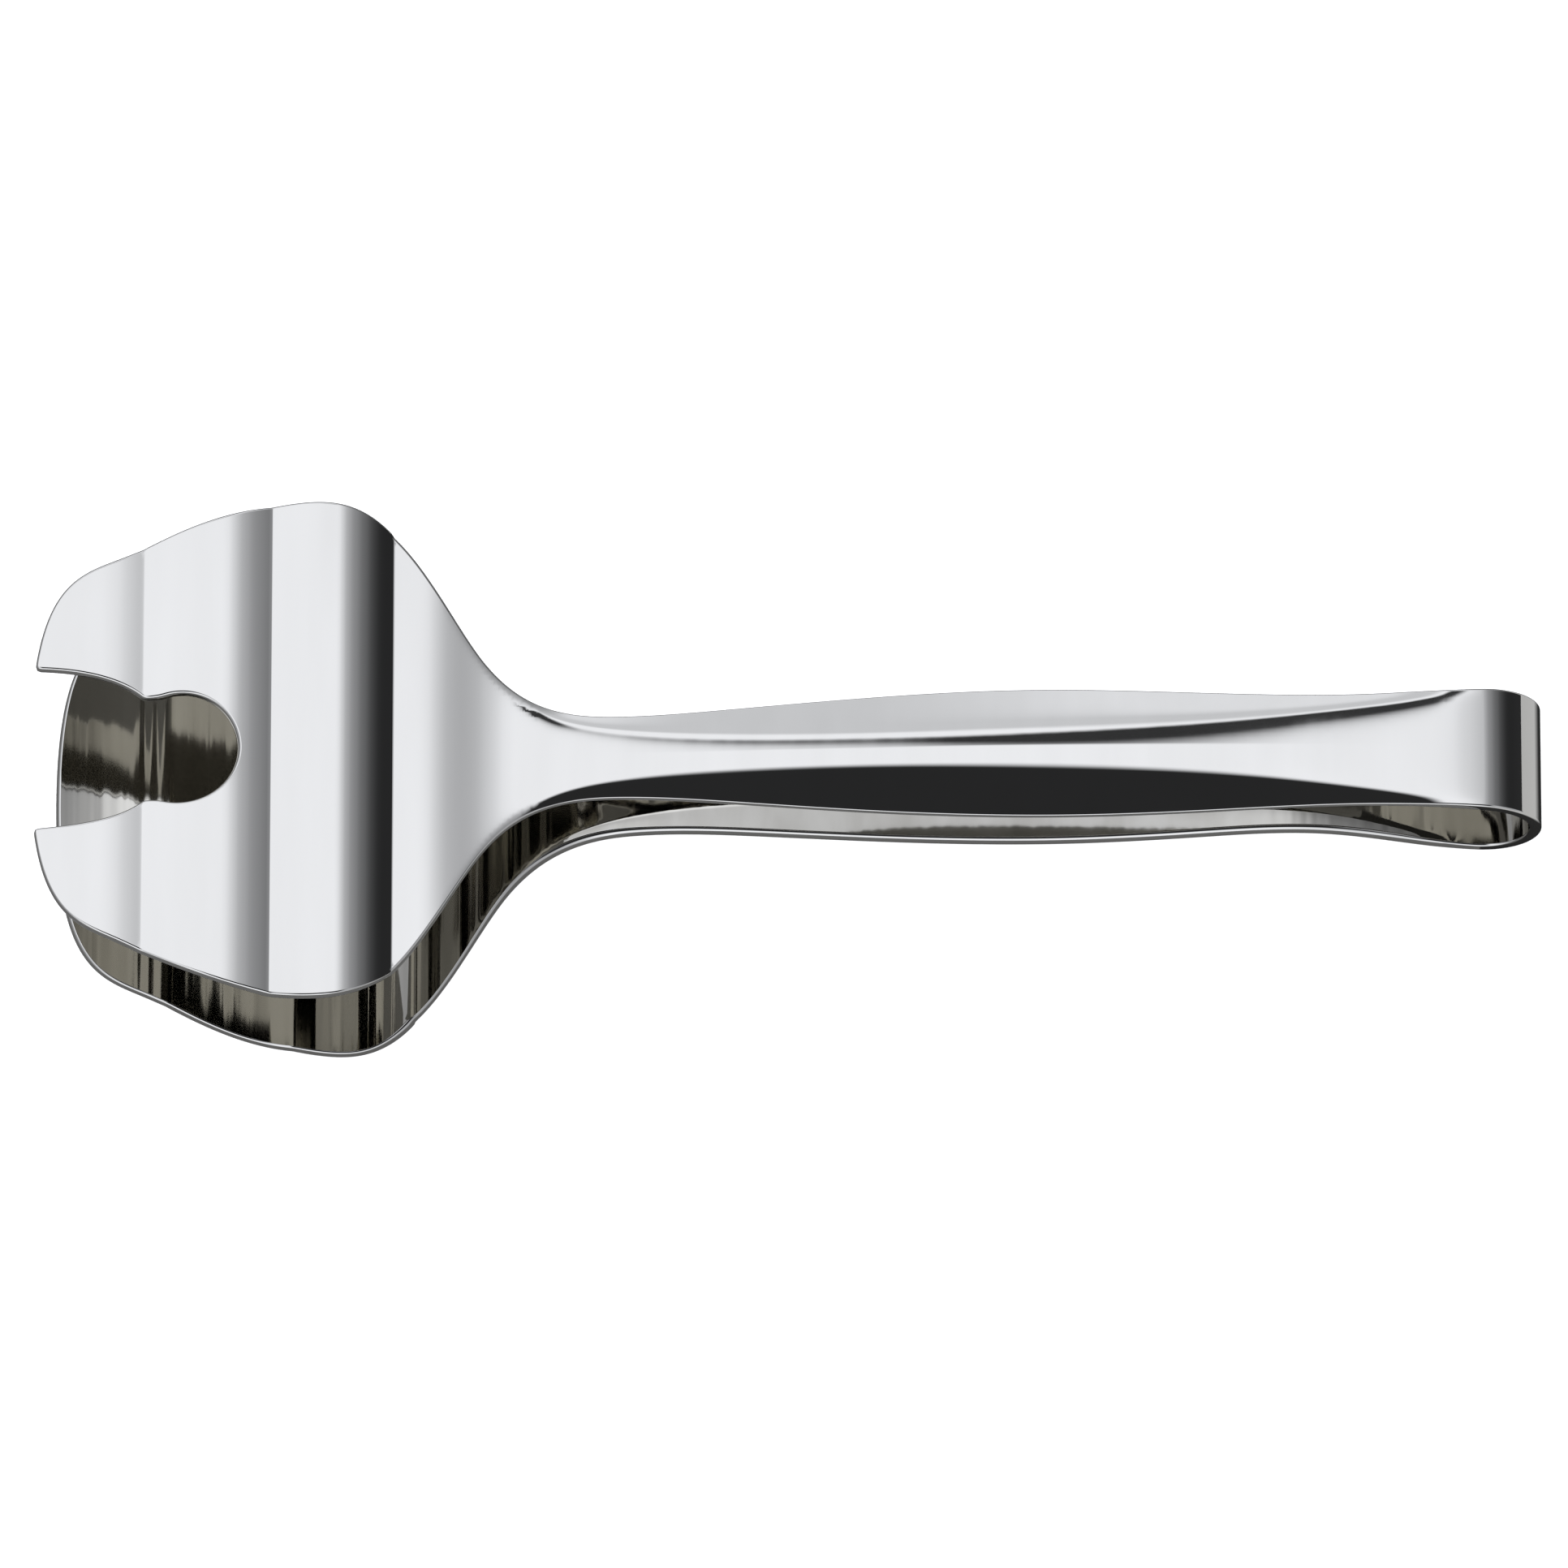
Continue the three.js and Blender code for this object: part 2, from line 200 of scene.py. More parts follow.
def arm_height(stem_heights, start_slope, valley_heights, outward):
    """Height of an arm's middle line: a smooth stem up to the first valley, then the lobes."""
    stem = smooth_curve(stem_heights, start_slope, 0)

    def value(u):
        u = np.asarray(u, float)
        height = stem(np.minimum(u, VALLEY_STATIONS[0]))
        slope_before = 0.0
        for i in range(len(LOBE_RISES)):
            a = (VALLEY_STATIONS[i], valley_heights[i])
            b = (VALLEY_STATIONS[i + 1], valley_heights[i + 1])
            chord = (b[1] - a[1]) / (b[0] - a[0])
            rise = chord + outward * LOBE_RISES[i]
            fall = chord - outward * LOBE_FALLS[i]
            lobe = hermite(u, a, b, rise, fall)
            height = np.where(u > a[0], lobe, height)
            from_valley = u - a[0]
            rounding = (np.hypot(from_valley, VALLEY_SOFTNESS) - np.abs(from_valley)) / 2
            height = height + (rise - slope_before) * rounding
            slope_before = fall
        return height

    return value


class Arm:
    """One arm of the strip: its outward direction, its shortening and its middle line."""

    def __init__(self, outward, shortening, flange_drops, stem_heights, start_slope, valley_heights):
        self.outward = outward
        self.shortening = shortening
        self.flange_drop = smooth_curve(flange_drops, 0, 0)
        self.height = arm_height(stem_heights, start_slope, valley_heights, outward)

    def along(self, station):
        """X of a station before the tilt, from the middle of the bend."""
        t = np.clip((station - BEND_STATION) / SPOON_CURVE_LENGTH, 0, 1)
        return BEND_STATION - station + self.shortening * t * t * (3 - 2 * t)

    def middle(self, station, across):
        """Middle surface of the sheet."""
        stem = np.minimum(station, BLADE_START)
        crease = crease_curve(stem)
        past = np.abs(across) - crease
        softened = (past + np.hypot(past, softness_curve(stem))) / 2
        drop = self.flange_drop(stem) * softened / (half_width(stem) - crease)
        height = self.height(station) - self.outward * drop
        return np.stack([self.along(station), across + 0 * station, height], axis=-1)

    def normal(self, station, across):
        """Outward normal of the middle surface."""
        step = self.outward * NORMAL_NUDGE
        ahead = self.middle(station - step, across)
        behind = self.middle(station + step, across)
        far = self.middle(station, across + NORMAL_NUDGE)
        near = self.middle(station, across - NORMAL_NUDGE)
        return unit(np.cross(ahead - behind, far - near))


def unit(vectors):
    return vectors / np.linalg.norm(vectors, axis=-1, keepdims=True)


FORK = Arm(1, 0, FORK_FLANGE_DROPS, FORK_STEM_HEIGHTS, math.tan(FORK_ENTRY_TILT),
           FORK_VALLEY_HEIGHTS)
SPOON = Arm(-1, SPOON_SHORTENING, SPOON_FLANGE_DROPS, SPOON_STEM_HEIGHTS, 0,
            SPOON_VALLEY_HEIGHTS)


# ---------------------------------------------------------------- standing on the table

def rest_tilt():
    """Tilt that brings the belly of the spoon down to the level of the bend's underside."""
    stations = np.arange(BLADE_START, FORK_LENGTH, TILT_STEP)
    depth = SHEET / 2 - SPOON.height(stations)
    reach = -SPOON.along(stations)
    angles = np.arctan2(depth, reach) - np.arcsin((BEND_RADIUS + SHEET / 2) / np.hypot(depth, reach))
    return float(np.max(angles))


BEND_CENTRE = Vector(frame["joints"][0]["pos_m"])
TO_ROW = Matrix.Translation(BEND_CENTRE) @ Matrix.Rotation(rest_tilt(), 4, "Y")


# ---------------------------------------------------------------- outlines, as (station, across)

def cubic(corners, count):
    """Points along a cubic Bezier curve."""
    t = np.linspace(0, 1, count)[:, None]
    back = 1 - t
    a, b, c, d = np.array(corners, float)
    return back ** 3 * a + 3 * t * back ** 2 * b + 3 * t * t * back * c + t ** 3 * d


def quadratic(corners, count):
    """Points along a quadratic Bezier curve."""
    t = np.linspace(0, 1, count)[:, None]
    back = 1 - t
    a, b, c = np.array(corners, float)
    return back ** 2 * a + 2 * t * back * b + t * t * c


def side_path():
    """Far side of the strip, from the bend to the start of the front edge."""
    stations = np.linspace(HANDLE_START, HALF_WIDTHS[-1][0], SIDE_POINTS)
    return np.stack([stations, half_width(stations)], axis=1)


def spoon_half():
    """Far half of the spoon's outline, from the bend to the middle of its front edge."""
    return np.concatenate([side_path(), cubic(FRONT_EDGE, SPOON_FRONT_POINTS)[1:]])


def fork_half():
    """Far half of the fork's outline, from the bend round the tine to the back of the hole."""
    front = cubic(FRONT_EDGE, FORK_FRONT_POINTS)[1:]
    front = front[front[:, 1] > MOUTH[1]]
    corner = (front[-1][0], MOUTH[1])
    mouth = quadratic([corner, MOUTH_BOW, CUSP], MOUTH_POINTS)
    angles = np.linspace(SHOULDER_ANGLE, 0, HOLE_POINTS)
    hole_stations = HOLE_STATION - HOLE_RADIUS * np.cos(angles)
    hole = np.stack([hole_stations, HOLE_RADIUS * np.sin(angles)], axis=1)
    return np.concatenate([side_path(), front, mouth, hole])


def even_path(points, step):
    """The same path with points an even step apart."""
    lengths = np.concatenate([[0], np.cumsum(np.linalg.norm(np.diff(points, axis=0), axis=1))])
    keep = np.concatenate([[True], np.diff(lengths) > SAME_POINT])
    places = np.linspace(0, lengths[-1], int(round(lengths[-1] / step)) + 1)
    return np.stack([np.interp(places, lengths[keep], points[keep, k]) for k in (0, 1)], axis=1)


def soften(points, step, blur):
    """Rounds a path's corners. Its ends stay, and the last end is a mirror line across = 0."""
    reach = int(math.ceil(BLUR_REACH * blur / step))
    kernel = np.exp(-0.5 * (np.arange(-reach, reach + 1) * step / blur) ** 2)
    kernel /= kernel.sum()
    start = 2 * points[0] - points[1:reach + 1][::-1]
    end = points[-reach - 1:-1][::-1] * (1, -1)
    padded = np.concatenate([start, points, end])
    smooth = np.stack([np.convolve(padded[:, k], kernel, "valid") for k in (0, 1)], axis=1)
    smooth[0] = points[0]
    smooth[-1, 1] = 0
    return smooth


def closed_outline(half):
    """Whole outline from the bend's end of the far side round to the near side, and inward normals."""
    fine = even_path(half, FINE_STEP)
    path = even_path(soften(fine, FINE_STEP, CORNER_BLUR), OUTLINE_STEP)
    path = np.concatenate([path, path[-2::-1] * (1, -1)])
    ahead = np.gradient(path, axis=0)
    inward = -unit(np.stack([-ahead[:, 1], ahead[:, 0]], axis=1))
    inward[0] = (0, -1)
    inward[-1] = (0, 1)
    return path, inward


# ---------------------------------------------------------------- sheets

def inside(points, loop):
    """Whether each point is inside a closed loop."""
    a = loop
    b = np.roll(loop, -1, axis=0)
    result = np.zeros(len(points), bool)
    for start in range(0, len(points), POINTS_AT_ONCE):
        part = points[start:start + POINTS_AT_ONCE]
        x = part[:, 0:1]
        y = part[:, 1:2]
        crosses = (a[:, 1] > y) != (b[:, 1] > y)
        rise = np.where(b[:, 1] == a[:, 1], 1, b[:, 1] - a[:, 1])
        hit = x < (b[:, 0] - a[:, 0]) * (y - a[:, 1]) / rise + a[:, 0]
        result[start:start + POINTS_AT_ONCE] = (np.sum(crosses & hit, axis=1) % 2) == 1
    return result


def clear_of(points, loop, gap):
    """Whether each point is further than gap from every point of the loop."""
    result = np.zeros(len(points), bool)
    for start in range(0, len(points), POINTS_AT_ONCE):
        part = points[start:start + POINTS_AT_ONCE]
        apart = np.linalg.norm(part[:, None] - loop[None], axis=2)
        result[start:start + POINTS_AT_ONCE] = apart.min(axis=1) > gap
    return result


def columns_at(station):
    """Across values of a stem row's mesh columns, closer together along its two creases."""
    reach = float(half_width(station)) - EDGE_INSET
    softness = float(softness_curve(station))
    fine = np.linspace(-reach, reach, CREASE_SAMPLES)
    from_crease = (np.abs(fine) - float(crease_curve(station))) / softness
    crowding = np.cumsum(1 + CREASE_CROWDING / (1 + from_crease ** 2))
    shares = (crowding - crowding[0]) / (crowding[-1] - crowding[0])
    return np.interp(np.linspace(0, 1, STEM_COLUMNS)[1:-1], shares, fine)


def lattice(inset):
    """Points inside the flat part of an arm: rows across it, in line with its outline's points."""
    side = inset[:len(inset) // 2]
    side = side[side[:, 0] < HALF_WIDTHS[-1][0] - FRONT_MARGIN]
    rows = list(side[1:, 0]) + list(np.arange(side[-1, 0] + ROW_STEP, FORK_LENGTH, ROW_STEP))
    points = []
    for station in rows:
        if station < WIDE_COLUMNS_START:
            columns = columns_at(station)
        else:
            columns = np.linspace(-HALF_BLADE, HALF_BLADE, BLADE_COLUMNS)
        points.append(np.stack([np.full(len(columns), station), columns], axis=1))
    points = np.concatenate(points)
    points = points[inside(points, inset)]
    return points[clear_of(points, inset, EDGE_CLEARANCE)]


def arm_sheet(name, arm, half):
    """One arm as a closed sheet with round edges and a flat cap where it meets the bend."""
    path, inward = closed_outline(half)
    count = len(path)
    inset = path + inward * EDGE_INSET
    seam = seam_columns()
    seam_points = np.stack([np.full(len(seam), float(HANDLE_START)), seam], axis=1)
    loop = np.concatenate([inset, seam_points])
    flat = np.concatenate([loop, lattice(loop)])
    border = [list(range(len(loop)))]
    inside_only = 1
    result = delaunay_2d_cdt([Vector(p) for p in flat], [], border, inside_only, MERGE_TOLERANCE)
    flat = np.array([tuple(p) for p in result[0]])
    triangles = list(result[2])
    sources = result[3]
    where = {}
    for new, olds in enumerate(sources):
        for old in olds:
            where[old] = new

    points = []
    normals = []
    faces = []

    def add(middle, normal, lift, shade):
        points.append(middle + normal * lift)
        normals.append(shade)

    total = len(flat)
    middle = arm.middle(flat[:, 0], flat[:, 1])
    normal = arm.normal(flat[:, 0], flat[:, 1])
    add(middle, normal, SHEET / 2, normal)
    add(middle, normal, -SHEET / 2, -normal)
    turned = [list(reversed(face)) for face in triangles]
    faces += [[v + total for v in face] for face in turned] + triangles
    inner_count = len(triangles)

    angles = np.linspace(math.pi / 2, -math.pi / 2, EDGE_RINGS + 1)
    rings = [[where[i] for i in range(count)]]
    base = 2 * total
    for angle in angles[1:-1]:
        spot = path + inward * EDGE_INSET * (1 - math.cos(angle))
        middle = arm.middle(spot[:, 0], spot[:, 1])
        normal = arm.normal(spot[:, 0], spot[:, 1])
        beyond = spot - inward * SIDE_NUDGE
        outward = unit(arm.middle(beyond[:, 0], beyond[:, 1]) - middle)
        shade = outward * math.cos(angle) * SHEET / 2 + normal * math.sin(angle) * EDGE_INSET
        add(middle, normal, SHEET / 2 * math.sin(angle), shade)
        rings.append(list(range(base, base + count)))
        base += count
    rings.append([where[i] + total for i in range(count)])
    for upper, lower in zip(rings, rings[1:]):
        for i in range(count - 1):
            faces.append([upper[i], upper[i + 1], lower[i + 1], lower[i]])
    seam_top = [where[count + i] for i in range(len(seam))]
    cap = [ring[-1] for ring in rings] + [v + total for v in seam_top]
    cap += [ring[0] for ring in reversed(rings)] + list(reversed(seam_top))
    faces.append(list(reversed(cap)))
    if arm.outward > 0:
        faces = [list(reversed(face)) for face in faces]
    # Faces towards the other arm, which get the steel with painted shade.
    is_inner_shaded = [i < inner_count for i in range(len(faces))]
    return make_piece(name, np.concatenate(points), unit(np.concatenate(normals)), faces, is_inner_shaded)


def seam_columns():
    """Across values of the sheet's columns where an arm meets the bend, from the near side."""
    reach = float(half_width(HANDLE_START)) - EDGE_INSET
    return np.linspace(-reach, reach, SEAM_COLUMNS + 2)[1:-1]


def bend_sheet(name):
    """The U bend with a little of each handle, as rows of one closed section."""
    angles = np.linspace(math.pi / 2, -math.pi / 2, EDGE_RINGS + 1)
    entry = np.linspace(HANDLE_START, FORK_BEND_STATION, FORK_ENTRY_ROWS + 1)[:-1]
    arc = np.linspace(math.pi / 2 - FORK_ENTRY_TILT, -math.pi / 2, BEND_ARC_ROWS)
    leave = np.linspace(BEND_STATION, HANDLE_START, SPOON_EXIT_ROWS + 1)[1:]
    rows = [("fork", s) for s in entry] + [("arc", a) for a in arc] + [("spoon", s) for s in leave]
    points = []
    normals = []
    for kind, value in rows:
        station = BEND_STATION - BEND_RADIUS * math.cos(value) if kind == "arc" else value
        width = float(half_width(station))
        flat = seam_columns() / (float(half_width(HANDLE_START)) - EDGE_INSET) * (width - EDGE_INSET)
        far = width - EDGE_INSET * (1 - np.cos(angles))
        across = np.concatenate([flat, far, flat[::-1], -far[::-1]])
        ones = np.ones(len(flat))
        turn = np.sin(angles)
        lift = np.concatenate([ones, turn, -ones, turn[::-1]]) * SHEET / 2
        facing = np.concatenate([ones, turn * EDGE_INSET, -ones, turn[::-1] * EDGE_INSET])
        side = np.concatenate([0 * flat, np.cos(angles), 0 * flat, -np.cos(angles)]) * SHEET / 2
        if kind == "arc":
            normal = np.array([[math.cos(value), 0, math.sin(value)]] * len(across))
            middle = normal * BEND_RADIUS + np.stack([0 * across, across, 0 * across], axis=1)
            outward = np.array([0, 1, 0])
        else:
            arm = FORK if kind == "fork" else SPOON
            stations = np.full(len(across), float(station))
            middle = arm.middle(stations, across)
            normal = arm.normal(stations, across)
            outward = unit(arm.middle(stations, across + SIDE_NUDGE) - middle)
        points.append(middle + normal * lift[:, None])
        normals.append(unit(outward * side[:, None] + normal * facing[:, None]))
    count = len(points[0])
    first_inner = len(seam_columns()) + EDGE_RINGS
    last_inner = first_inner + len(seam_columns())
    faces = []
    is_inner_shaded = []
    for row in range(len(rows) - 1):
        for i in range(count):
            j = (i + 1) % count
            a = row * count
            b = a + count
            faces.append([a + i, b + i, b + j, a + j])
            # Columns on the inside of the bend get the steel with painted shade.
            is_inner_shaded.append(first_inner <= i <= last_inner)
    last = (len(rows) - 1) * count
    faces.append(list(range(count)))
    faces.append([last + i for i in reversed(range(count))])
    is_inner_shaded += [False, False]
    return make_piece(name, np.concatenate(points), np.concatenate(normals), faces, is_inner_shaded)


def make_piece(name, points, normals, faces, is_inner_shaded):
    """Object in the frame's metres, smooth except its caps, with the sheet's own normals."""
    turn = np.array(TO_ROW.to_3x3())
    world = points * MM @ turn.T + np.array(TO_ROW.translation)
    mesh = bpy.data.meshes.new(name)
    mesh.from_pydata([tuple(p) for p in world], [], faces)
    # Faces between the arms take the second material, whose darker tones are painted shade.
    mesh.polygons.foreach_set("material_index", [int(flag) for flag in is_inner_shaded])
    mesh.update()
    mesh.polygons.foreach_set("use_smooth", [len(p.vertices) < CAP_CORNERS for p in mesh.polygons])
    mesh.normals_split_custom_set_from_vertices([tuple(n) for n in normals @ turn.T])
    piece = bpy.data.objects.new(name, mesh)
    bpy.context.scene.collection.objects.link(piece)
    return piece


# ---------------------------------------------------------------- material

# Steel finishes, as (darker tone, lighter tone, roughness range, press mark depth and spacing in mm). The
# inner finish's tones are darker to paint the shade between the two arms; its other values are the
# steel's own surface.
OUTER_FINISH = ((0.625, 0.615, 0.585, 1), (0.65, 0.64, 0.61, 1), (0.03, 0.06), 0.008, 4)
# Painted shade: the inner faces' darker tones stand in for the shade between the arms.
INNER_SHADE_AND_FINISH = ((0.48, 0.465, 0.42, 1), (0.6, 0.585, 0.54, 1), (0.04, 0.08), 0.11, 2.4)
HAZE_SCALE = 55
HAZE_DETAIL = 5
WEAR_SCALE = 160
WEAR_DETAIL = 3
WEAR_STRETCH = (1, 0.12, 1)
PRESS_STRETCH = (1, 0.02, 0.1)
PRESS_DETAIL = 1
NOISE_LOW = 0.3
NOISE_HIGH = 0.7

# The floor's white to the eye, and the painted shade it shows in the steel instead: dim under the tongs,
# a painted shadow under the loop's end, and a lighter grey past it. The places are along X in metres.
FLOOR_TONE = 0.93
FLOOR_SHADE_IN_STEEL = 0.12
FLOOR_SHADOW_AT_LOOP = 0.02
FLOOR_SHADE_PAST_LOOP = 0.42
LOOP_SHADE_START = 0.1
LOOP_SHADOW_FADE_START = 0.116
LOOP_SHADOW_FADE_END = 0.124
FLOOR_ROUGHNESS = 0.9
FLOOR_SPECULAR = 0.1


def link_noise(nodes, links, place, stretch, scale, detail):
    """Noise over the object, stretched along each axis by the given factors."""
    mapping = nodes.new("ShaderNodeMapping")
    mapping.inputs["Scale"].default_value = stretch
    links.new(place.outputs["Object"], mapping.inputs["Vector"])
    noise = nodes.new("ShaderNodeTexNoise")
    noise.inputs["Scale"].default_value = scale
    noise.inputs["Detail"].default_value = detail
    links.new(mapping.outputs["Vector"], noise.inputs["Vector"])
    return noise.outputs["Fac"]


def polished_steel(name, finish):
    """Stainless steel with press marks across the strip, polishing haze and fine wear, in the finish's
    tones; the inner finish's darker tones are painted shade.
    """
    dark, light, roughness, mark_depth, mark_spacing = finish
    material = bpy.data.materials.new(name)
    material.use_nodes = True
    nodes = material.node_tree.nodes
    links = material.node_tree.links
    shader = nodes["Principled BSDF"]
    shader.inputs["Metallic"].default_value = 1
    place = nodes.new("ShaderNodeTexCoord")

    haze = link_noise(nodes, links, place, (1, 1, 1), HAZE_SCALE, HAZE_DETAIL)
    rough = nodes.new("ShaderNodeMapRange")
    rough.inputs["From Min"].default_value = NOISE_LOW
    rough.inputs["From Max"].default_value = NOISE_HIGH
    rough.inputs["To Min"].default_value = roughness[0]
    rough.inputs["To Max"].default_value = roughness[1]
    links.new(haze, rough.inputs["Value"])
    links.new(rough.outputs["Result"], shader.inputs["Roughness"])

    tone = link_noise(nodes, links, place, WEAR_STRETCH, WEAR_SCALE, WEAR_DETAIL)
    colour = nodes.new("ShaderNodeValToRGB")
    colour.color_ramp.elements[0].position = NOISE_LOW
    colour.color_ramp.elements[0].color = dark
    colour.color_ramp.elements[1].position = NOISE_HIGH
    colour.color_ramp.elements[1].color = light
    links.new(tone, colour.inputs["Fac"])
    links.new(colour.outputs["Color"], shader.inputs["Base Color"])

    marks_per_metre = 1 / (mark_spacing * MM)
    press = link_noise(nodes, links, place, PRESS_STRETCH, marks_per_metre, PRESS_DETAIL)
    bump = nodes.new("ShaderNodeBump")
    bump.inputs["Strength"].default_value = 1
    bump.inputs["Distance"].default_value = mark_depth * MM
    links.new(press, bump.inputs["Height"])
    links.new(bump.outputs["Normal"], shader.inputs["Normal"])
    return material


def pale_floor():
    """Matt white to the eye, but painted darker in the steel's reflections: painted shade under the tongs
    and a painted shadow at the loop's end.
    """
    material = bpy.data.materials.new("pale_floor")
    material.use_nodes = True
    nodes = material.node_tree.nodes
    links = material.node_tree.links
    shader = nodes["Principled BSDF"]
    shader.inputs["Roughness"].default_value = FLOOR_ROUGHNESS
    shader.inputs["Specular IOR Level"].default_value = FLOOR_SPECULAR
    place = nodes.new("ShaderNodeTexCoord")
    split = nodes.new("ShaderNodeSeparateXYZ")
    links.new(place.outputs["Object"], split.inputs["Vector"])
    # Painted shadow under the loop's end, fading to a lighter grey past it.
    from_loop = nodes.new("ShaderNodeMapRange")
    from_loop.inputs["From Min"].default_value = LOOP_SHADOW_FADE_START
    from_loop.inputs["From Max"].default_value = LOOP_SHADOW_FADE_END
    from_loop.inputs["To Min"].default_value = FLOOR_SHADOW_AT_LOOP
    from_loop.inputs["To Max"].default_value = FLOOR_SHADE_PAST_LOOP
    links.new(split.outputs["X"], from_loop.inputs["Value"])
    before_loop = nodes.new("ShaderNodeMath")
    before_loop.operation = "LESS_THAN"
    before_loop.inputs[1].default_value = LOOP_SHADE_START
    links.new(split.outputs["X"], before_loop.inputs[0])
    shade_in_steel = nodes.new("ShaderNodeMix")
    links.new(before_loop.outputs["Value"], shade_in_steel.inputs["Factor"])
    links.new(from_loop.outputs["Result"], shade_in_steel.inputs["A"])
    shade_in_steel.inputs["B"].default_value = FLOOR_SHADE_IN_STEEL
    # Only glossy rays see the painted shade; the camera sees the floor white.
    rays = nodes.new("ShaderNodeLightPath")
    tone = nodes.new("ShaderNodeMix")
    links.new(rays.outputs["Is Glossy Ray"], tone.inputs["Factor"])
    tone.inputs["A"].default_value = FLOOR_TONE
    links.new(shade_in_steel.outputs["Result"], tone.inputs["B"])
    links.new(tone.outputs["Result"], shader.inputs["Base Color"])
    return material


# ---------------------------------------------------------------- stage, light and camera

FLOOR_LIGHT = 3.2
STUDIO_LIGHT = 1.3
STUDIO_SHADE = 0.03
STUDIO_COLOUR = (0.96, 0.985, 1.06, 1)
FLOOR_HALF_SIZE = 6
FLOOR_DROP = 0.2
SUN_SPREAD = math.radians(60)

# How the studio darkens towards the loop's side, as (direction's x, level)
LOOP_SIDE_FALLOFF = [
    (0.05, 1), (0.12, 0.84), (0.2, 0.55), (0.3, 0.35), (0.45, 0.2), (0.6, 0.09), (0.75, 0.01), (1, 0.005),
]

# Smooth steps over a direction's x, y or z, as (from, to, level before, level after)
TIP_SIDE = (-0.95, -0.4, 0.3, 1)
LOOP_SIDE_EDGE = (-0.15, 0.1, 0.65, 1)
CARD_WIDTH = (0.3, 0.5, 1, 0)
CARD_EDGE = (-0.15, 0.08, 1, 0)
CARD_TOP = (0.42, 0.6, 0, 1)
BACK_GREY = (0.6, 0.72, 1, 0.66)
BACK_BRIGHT = (0.84, 0.97, 1, 1.3)
GAP_NEAR = (0.348, 0.42, 0, 1)
GAP_FAR = (0.52, 0.6, 1, 0)
GAP_SKEW = 0.8
GAP_LEFT = (-0.2, -0.09, 0, 1)
GAP_RIGHT = (0.05, 0.1, 1, 0)
GAP_DEPTH = 0.985


def make_floor():
    """Wide plain floor, just under the tongs."""
    size = FLOOR_HALF_SIZE
    mesh = bpy.data.meshes.new("floor")
    corners = [(-size, -size, 0), (size, -size, 0), (size, size, 0), (-size, size, 0)]
    mesh.from_pydata(corners, [], [(0, 1, 2, 3)])
    floor = bpy.data.objects.new("floor", mesh)
    floor.location.z = -FLOOR_DROP * MM
    floor.data.materials.append(pale_floor())
    bpy.context.scene.collection.objects.link(floor)


def make_floor_light():
    """Lights the floor evenly. Steel is a mirror, so it shows the soft studio light instead."""
    data = bpy.data.lights.new("floor_light", "SUN")
    data.energy = FLOOR_LIGHT
    data.angle = SUN_SPREAD
    data.use_shadow = False
    lamp = bpy.data.objects.new("floor_light", data)
    lamp.visible_glossy = False
    bpy.context.scene.collection.objects.link(lamp)


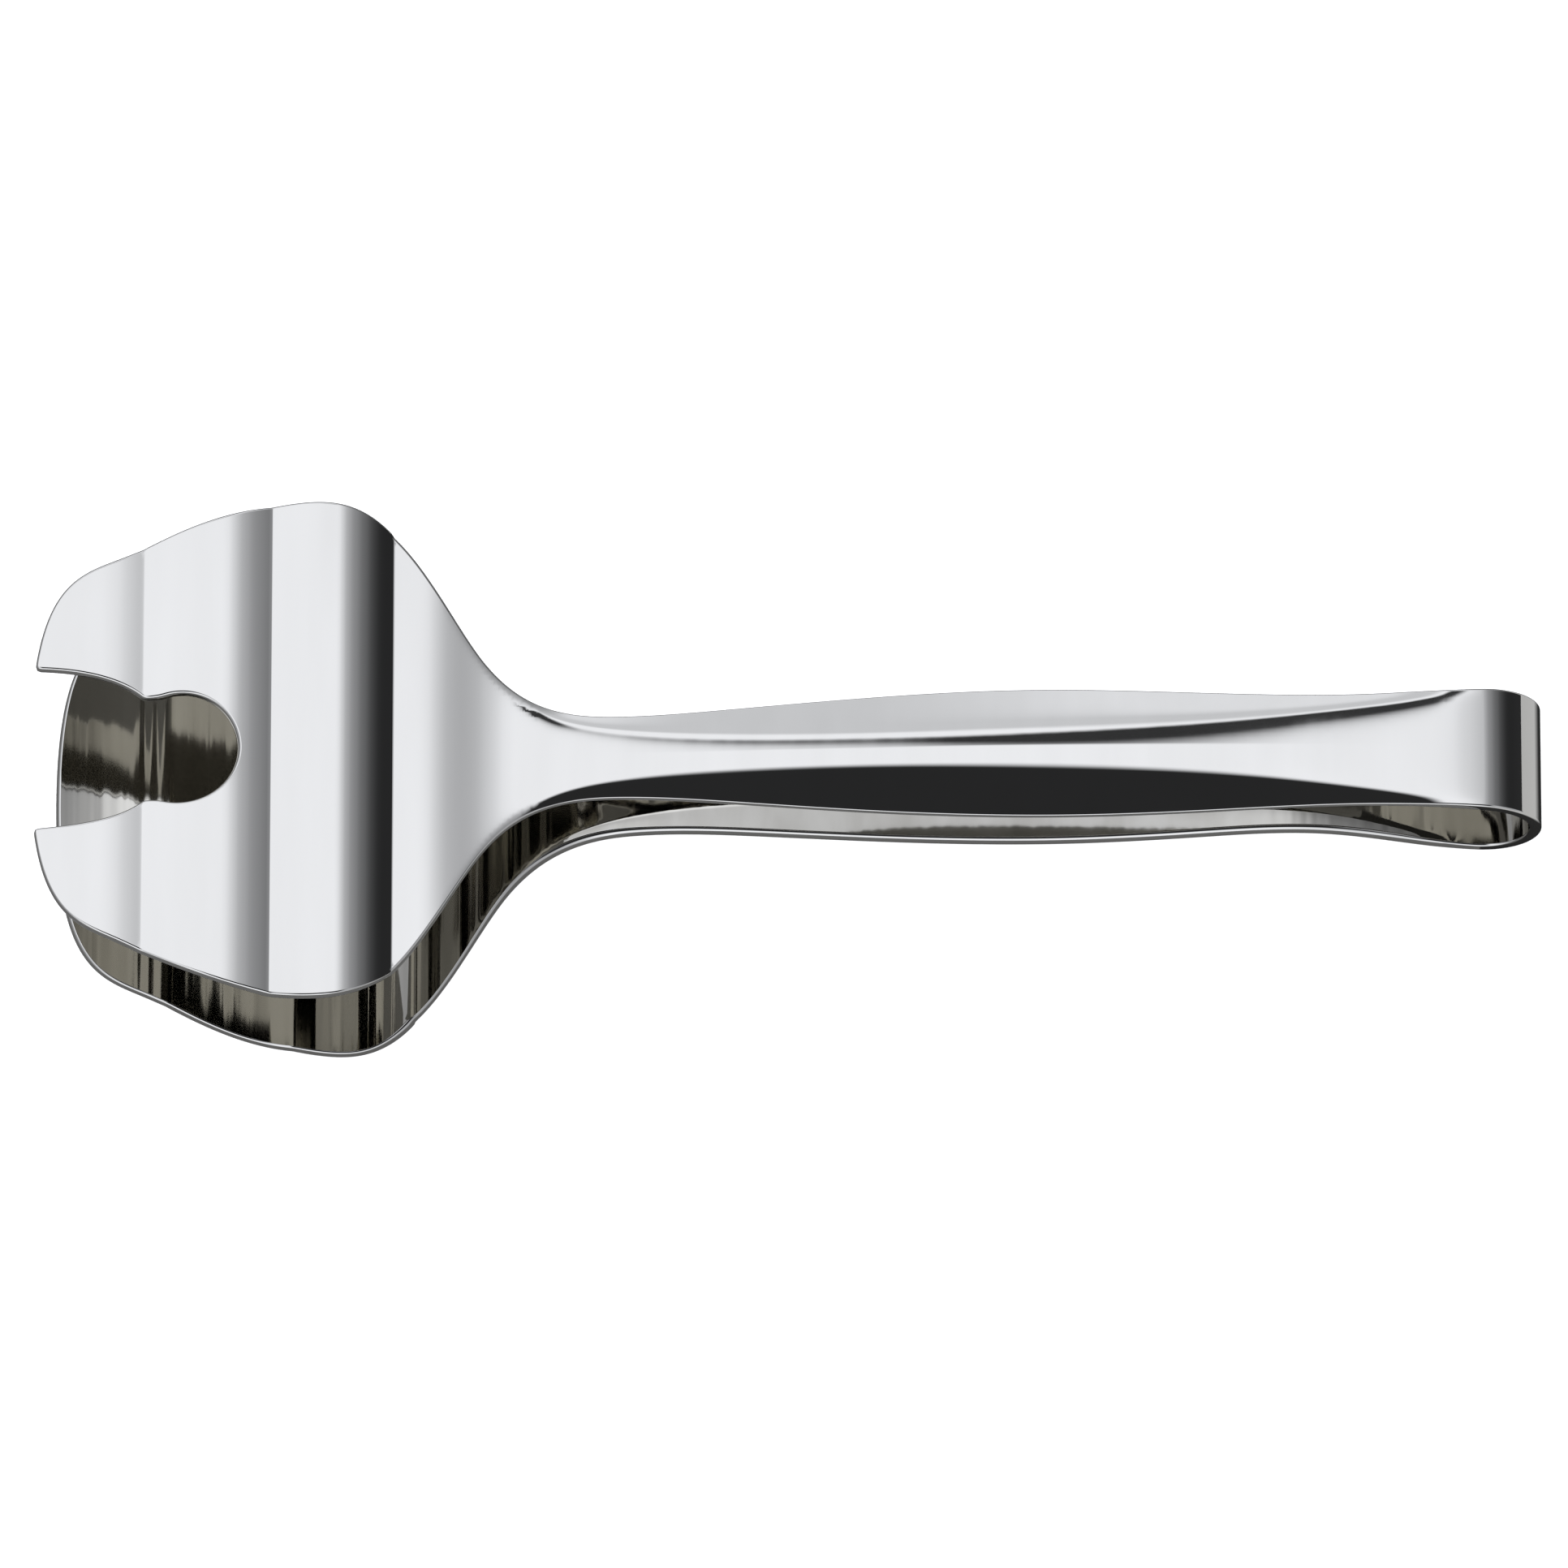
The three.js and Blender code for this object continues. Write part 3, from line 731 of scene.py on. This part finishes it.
def make_world():
    """Soft studio light: a large white ceiling that reaches down behind the tongs, dark in front."""
    world = bpy.data.worlds.new("studio")
    bpy.context.scene.world = world
    world.use_nodes = True
    nodes = world.node_tree.nodes
    links = world.node_tree.links
    background = nodes["Background"]
    place = nodes.new("ShaderNodeTexCoord")
    split = nodes.new("ShaderNodeSeparateXYZ")
    links.new(place.outputs["Generated"], split.inputs["Vector"])

    def ramp(socket, step):
        low, high, at_low, at_high = step
        node = nodes.new("ShaderNodeMapRange")
        node.interpolation_type = "SMOOTHSTEP"
        node.inputs["From Min"].default_value = low
        node.inputs["From Max"].default_value = high
        node.inputs["To Min"].default_value = at_low
        node.inputs["To Max"].default_value = at_high
        links.new(socket, node.inputs["Value"])
        return node.outputs["Result"]

    def maths(operation, a, b):
        node = nodes.new("ShaderNodeMath")
        node.operation = operation
        for socket, value in zip(node.inputs, (a, b)):
            if isinstance(value, (int, float)):
                socket.default_value = value
            else:
                links.new(value, socket)
        return node.outputs["Value"]

    tilt = rest_tilt()
    along = maths("MULTIPLY", split.outputs["X"], math.cos(tilt))
    x = maths("SUBTRACT", along, maths("MULTIPLY", split.outputs["Z"], math.sin(tilt)))
    y = split.outputs["Y"]
    falloff = nodes.new("ShaderNodeValToRGB")
    falloff.color_ramp.interpolation = "CARDINAL"
    stops = falloff.color_ramp.elements
    while len(stops) < len(LOOP_SIDE_FALLOFF):
        stops.new(1)
    for stop, (position, level) in zip(stops, LOOP_SIDE_FALLOFF):
        stop.position = position
        stop.color = (level, level, level, 1)
    links.new(x, falloff.inputs["Fac"])
    left = ramp(x, TIP_SIDE)
    across = ramp(maths("ABSOLUTE", x, 0), CARD_WIDTH)
    card = maths("MULTIPLY", ramp(y, CARD_EDGE), ramp(split.outputs["Z"], CARD_TOP))
    front = maths("SUBTRACT", 1, maths("MULTIPLY", card, across))
    back = maths("MULTIPLY", ramp(y, BACK_GREY), ramp(y, BACK_BRIGHT))
    skewed = maths("SUBTRACT", y, maths("MULTIPLY", x, GAP_SKEW))
    gap_y = maths("MULTIPLY", ramp(y, GAP_NEAR), ramp(skewed, GAP_FAR))
    gap_x = maths("MULTIPLY", ramp(x, GAP_LEFT), ramp(x, GAP_RIGHT))
    gap = maths("SUBTRACT", 1, maths("MULTIPLY", maths("MULTIPLY", gap_x, gap_y), GAP_DEPTH))
    shade = maths("MULTIPLY", maths("SUBTRACT", 1, falloff.outputs["Color"]), ramp(y, LOOP_SIDE_EDGE))
    sides = maths("MULTIPLY", maths("SUBTRACT", 1, shade), left)
    level = maths("MULTIPLY", sides, maths("MULTIPLY", front, back))
    level = maths("MULTIPLY", level, gap)
    studio = maths("ADD", maths("MULTIPLY", level, STUDIO_LIGHT), STUDIO_SHADE)
    rays = nodes.new("ShaderNodeLightPath")
    seen = rays.outputs["Is Camera Ray"]
    strength = maths("ADD", maths("MULTIPLY", studio, maths("SUBTRACT", 1, seen)), seen)
    links.new(strength, background.inputs["Strength"])
    background.inputs["Color"].default_value = STUDIO_COLOUR


CAMERA_ELEVATION = math.radians(70)
CAMERA_DISTANCE = 3.2
CAMERA_TARGET = (-100.86, 0, 9.26)
CAMERA_DROP = -5.3
VIEW_WIDTH = 0.2278
SENSOR = 36
CLIP_END = 20


def make_camera():
    """Long lens, square across the tongs and looking down on them at 70 degrees."""
    data = bpy.data.cameras.new("camera")
    data.sensor_width = SENSOR
    data.lens = SENSOR * CAMERA_DISTANCE / VIEW_WIDTH
    data.clip_end = CLIP_END
    camera = bpy.data.objects.new("camera", data)
    bpy.context.scene.collection.objects.link(camera)
    bpy.context.scene.camera = camera
    turn = TO_ROW.to_3x3()
    right = turn @ Vector((1, 0, 0))
    up = turn @ Vector((0, math.sin(CAMERA_ELEVATION), math.cos(CAMERA_ELEVATION)))
    back = right.cross(up)
    centre = TO_ROW @ (Vector(CAMERA_TARGET) * MM) + up * CAMERA_DROP * MM
    facing = Matrix((right, up, back)).transposed().to_4x4()
    camera.matrix_world = Matrix.Translation(centre + back * CAMERA_DISTANCE) @ facing


# ---------------------------------------------------------------- scene

def main():
    """The three sheets, the two arms on their bodies, and the stage around them."""
    outer = polished_steel("polished_steel", OUTER_FINISH)
    # The inner faces' steel, darker to paint the shade between the arms.
    inner_shaded_steel = polished_steel("inner_steel_painted_shade", INNER_SHADE_AND_FINISH)
    fork_arm = arm_sheet("fork_arm_strip", FORK, fork_half())
    spoon_arm = arm_sheet("spoon_arm_strip", SPOON, spoon_half())
    bend = bend_sheet("bend_strip")
    for piece in (fork_arm, spoon_arm, bend):
        piece.data.materials.append(outer)
        piece.data.materials.append(inner_shaded_steel)
    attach(fork_arm, "fork_arm")
    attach(spoon_arm, "spoon_arm")
    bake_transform(bend)
    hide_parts("fork_blade", "fork_neck", "fork_handle")
    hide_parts("spoon_blade", "spoon_neck", "spoon_handle")
    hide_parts("spring_bend")
    make_floor()
    make_floor_light()
    make_world()
    make_camera()
    bpy.context.scene.view_settings.view_transform = "Standard"


main()
